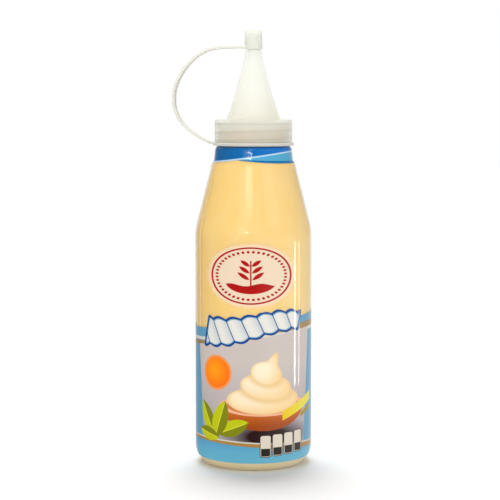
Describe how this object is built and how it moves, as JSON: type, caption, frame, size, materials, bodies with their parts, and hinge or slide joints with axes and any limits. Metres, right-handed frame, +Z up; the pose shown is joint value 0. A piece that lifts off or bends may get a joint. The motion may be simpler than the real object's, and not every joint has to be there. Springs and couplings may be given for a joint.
{
  "type": "mayonnaise squeeze bottle",
  "caption": "Full clear squeeze bottle in a printed shrink film, with a translucent nozzle and a tip cap that a thin curved strap ties to the neck.",
  "frame": {"origin": "on the surface that the bottle stands on, under the middle of the whole object's box; the bottle's own axis is at x = 0.00445", "axes": "+Z up along the bottle, -X towards the strap, -Y towards the printed front"},
  "size_m": [0.056, 0.047, 0.1742],
  "materials": {
    "clear_bottle": "clear blown plastic, glossy",
    "mayonnaise": "smooth thick sauce, soft gloss",
    "printed_film": "clear shrink film with printed bands, glossy",
    "milky_plastic": "translucent moulded plastic, satin"
  },
  "bodies": {
    "root": {"bottle": "clear_bottle", "mayonnaise": "mayonnaise", "printed_film": "printed_film", "nozzle": "milky_plastic", "tether_cap": "milky_plastic"}
  },
  "joints": []
}
